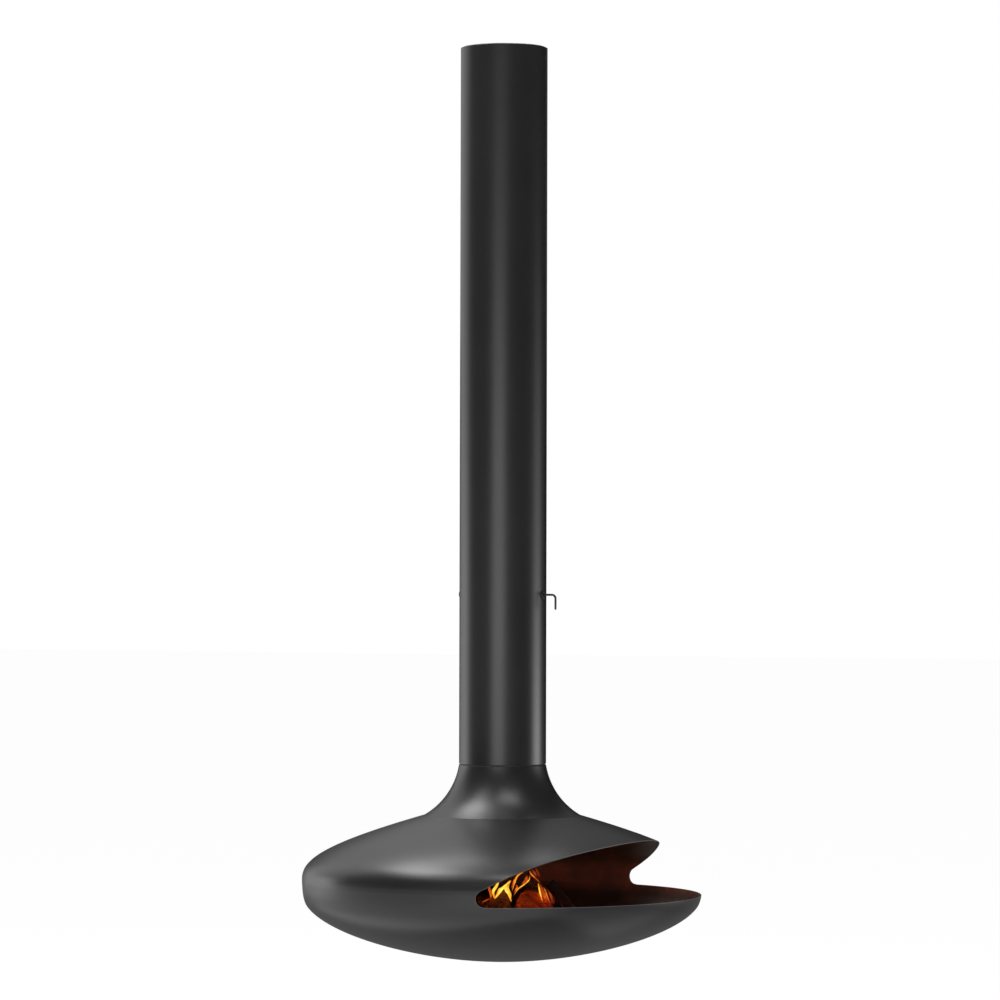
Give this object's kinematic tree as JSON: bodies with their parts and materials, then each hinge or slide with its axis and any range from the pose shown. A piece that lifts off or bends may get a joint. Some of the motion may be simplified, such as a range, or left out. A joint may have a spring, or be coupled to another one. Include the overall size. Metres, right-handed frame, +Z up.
{
  "type": "hanging fireplace",
  "caption": "Open wood fireplace hung from the ceiling: a swivelling round flue with a damper carries a lens-shaped steel hearth with one wide mouth and a log fire.",
  "frame": {"origin": "centre of the ceiling plate's top face, on the flue's axis; the whole part hangs below it", "axes": "+Z up along the flue, -Y out of the hearth's mouth, +X to the right of someone who faces +Y"},
  "size_m": [1.1496, 1.1473, 2.6255],
  "materials": {
    "black_paint": "heat-proof black paint, soft satin",
    "sooted_steel": "black paint under soot, dull",
    "bare_steel": "plain mild steel, smoked grey",
    "cast_iron": "rough sand-cast iron, sooted",
    "firebrick": "dry refractory brick, smoked",
    "glass_fibre": "woven glass-fibre rope and sheet",
    "charred_wood": "split firewood, charred"
  },
  "bodies": {
    "ceiling_support": {"ceiling_plate": "bare_steel", "support_spigot": "bare_steel", "keeper_ring": "bare_steel", "keeper_screw_1": "bare_steel", "keeper_screw_2": "bare_steel", "keeper_screw_3": "bare_steel", "keeper_screw_4": "bare_steel", "keeper_screw_5": "bare_steel", "keeper_screw_6": "bare_steel", "bearing_lower_race": "bare_steel"},
    "ball_cage": {"bearing_ball_cage": "bare_steel"},
    "flue_and_hearth": {"flue_tube": "black_paint", "hanger_ring": "bare_steel", "bearing_upper_race": "bare_steel", "rope_seal": "glass_fibre", "flange_bolt_1": "bare_steel", "flange_bolt_2": "bare_steel", "flange_bolt_3": "bare_steel", "flange_bolt_4": "bare_steel", "flange_bolt_5": "bare_steel", "flange_bolt_6": "bare_steel", "flue_flange": "bare_steel", "flange_gasket": "glass_fibre", "hearth_collar": "sooted_steel", "front_bush": "bare_steel", "rear_bush": "bare_steel", "handle_rosette": "black_paint", "rear_cap": "black_paint", "friction_washer": "bare_steel", "neck_flare": "black_paint", "hood_shell": "black_paint", "bowl_shell": "black_paint", "seam_strip": "sooted_steel", "bed_tray": "cast_iron", "firebrick_1": "firebrick", "firebrick_2": "firebrick", "firebrick_3": "firebrick", "firebrick_4": "firebrick", "firebrick_5": "firebrick", "firebrick_6": "firebrick", "ash_pan": "cast_iron", "fire_grate": "cast_iron", "log_base_near": "charred_wood", "log_base_far": "charred_wood", "log_cross_front": "charred_wood", "log_cross_rear": "charred_wood", "log_top": "charred_wood", "log_leaning": "charred_wood"},
    "damper": {"damper_rod": "black_paint", "damper_disc": "bare_steel", "disc_clip_front": "bare_steel", "disc_clip_rear": "bare_steel", "set_collar": "bare_steel"}
  },
  "joints": [
    {"name": "hearth_swivel", "type": "hinge", "parent": "ceiling_support", "child": "flue_and_hearth", "pos_m": [0, 0, -0.1126], "axis": [0, 0, 1], "continuous": true},
    {"name": "cage_roll", "type": "hinge", "parent": "ceiling_support", "child": "ball_cage", "pos_m": [0, 0, -0.1126], "axis": [0, 0, 1], "continuous": true},
    {"name": "damper_turn", "type": "hinge", "parent": "flue_and_hearth", "child": "damper", "pos_m": [0, 0, -1.575], "axis": [0, -1, 0], "range_deg": [0, 90]}
  ],
  "couplings": [
    {"joint": "cage_roll", "follows": "hearth_swivel", "ratio": 0.5}
  ]
}
